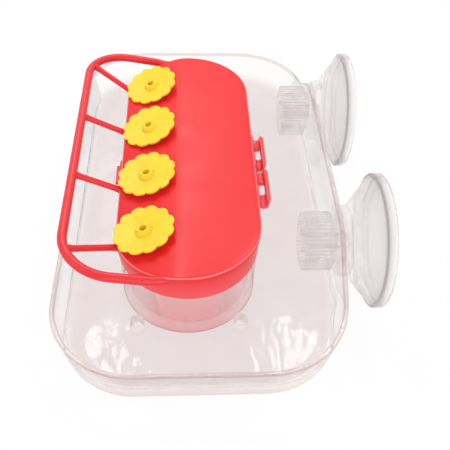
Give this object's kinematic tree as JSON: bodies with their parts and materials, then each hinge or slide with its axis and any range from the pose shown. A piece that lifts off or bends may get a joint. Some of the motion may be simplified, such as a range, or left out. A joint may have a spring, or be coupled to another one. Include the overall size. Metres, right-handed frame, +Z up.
{
  "type": "window hummingbird feeder",
  "caption": "Clear tray on suction cups holding a clear nectar reservoir with a hinged red lid, yellow flower feeding ports and a raised red perch for small birds.",
  "frame": {"origin": "under the middle of the feeder's box, at the lowest point of the suction cups", "axes": "+Z up, +X towards the window, +Y along the tray"},
  "size_m": [0.142, 0.224, 0.06],
  "materials": {
    "tray_clear": "polished clear moulded plastic",
    "reservoir_clear": "polished clear moulded plastic",
    "fitting_clear": "polished clear moulded plastic",
    "cup_clear": "soft clear vinyl, slightly milky",
    "lid_red": "satin moulded plastic",
    "perch_red": "satin moulded plastic",
    "flower_yellow": "satin moulded plastic"
  },
  "bodies": {
    "tray": {"tray": "tray_clear", "suction_cup_1": "cup_clear", "suction_cup_2": "cup_clear", "cup_stud_1": "fitting_clear", "cup_stud_2": "fitting_clear"},
    "nut_1": {"thumb_nut_1": "fitting_clear"},
    "nut_2": {"thumb_nut_2": "fitting_clear"},
    "reservoir": {"reservoir": "reservoir_clear"},
    "lid": {"lid_cover": "lid_red", "perch_rail": "perch_red", "perch_strut_1": "perch_red", "perch_strut_2": "perch_red", "perch_strut_3": "perch_red", "perch_strut_4": "perch_red"},
    "flower_1": {"flower_1": "flower_yellow"},
    "flower_2": {"flower_2": "flower_yellow"},
    "flower_3": {"flower_3": "flower_yellow"},
    "flower_4": {"flower_4": "flower_yellow"}
  },
  "joints": [
    {"name": "reservoir_lift", "type": "slide", "parent": "tray", "child": "reservoir", "axis": [0, 0, 1], "range_m": [0, 0.06]},
    {"name": "lid_hinge", "type": "hinge", "parent": "reservoir", "child": "lid", "pos_m": [0.021, -0.0035, 0.0332], "axis": [0, 1, 0], "range_deg": [0, 100]},
    {"name": "flower_1_pull", "type": "slide", "parent": "lid", "child": "flower_1", "axis": [-0.1908, 0, 0.9816], "range_m": [0, 0.009]},
    {"name": "flower_2_pull", "type": "slide", "parent": "lid", "child": "flower_2", "axis": [-0.1908, 0, 0.9816], "range_m": [0, 0.009]},
    {"name": "flower_3_pull", "type": "slide", "parent": "lid", "child": "flower_3", "axis": [-0.1908, 0, 0.9816], "range_m": [0, 0.009]},
    {"name": "flower_4_pull", "type": "slide", "parent": "lid", "child": "flower_4", "axis": [-0.1908, 0, 0.9816], "range_m": [0, 0.009]},
    {"name": "nut_1_turn", "type": "hinge", "parent": "tray", "child": "nut_1", "pos_m": [0.045, -0.0475, 0.03], "axis": [1, 0, 0], "continuous": true},
    {"name": "nut_2_turn", "type": "hinge", "parent": "tray", "child": "nut_2", "pos_m": [0.045, 0.0475, 0.03], "axis": [1, 0, 0], "continuous": true}
  ]
}
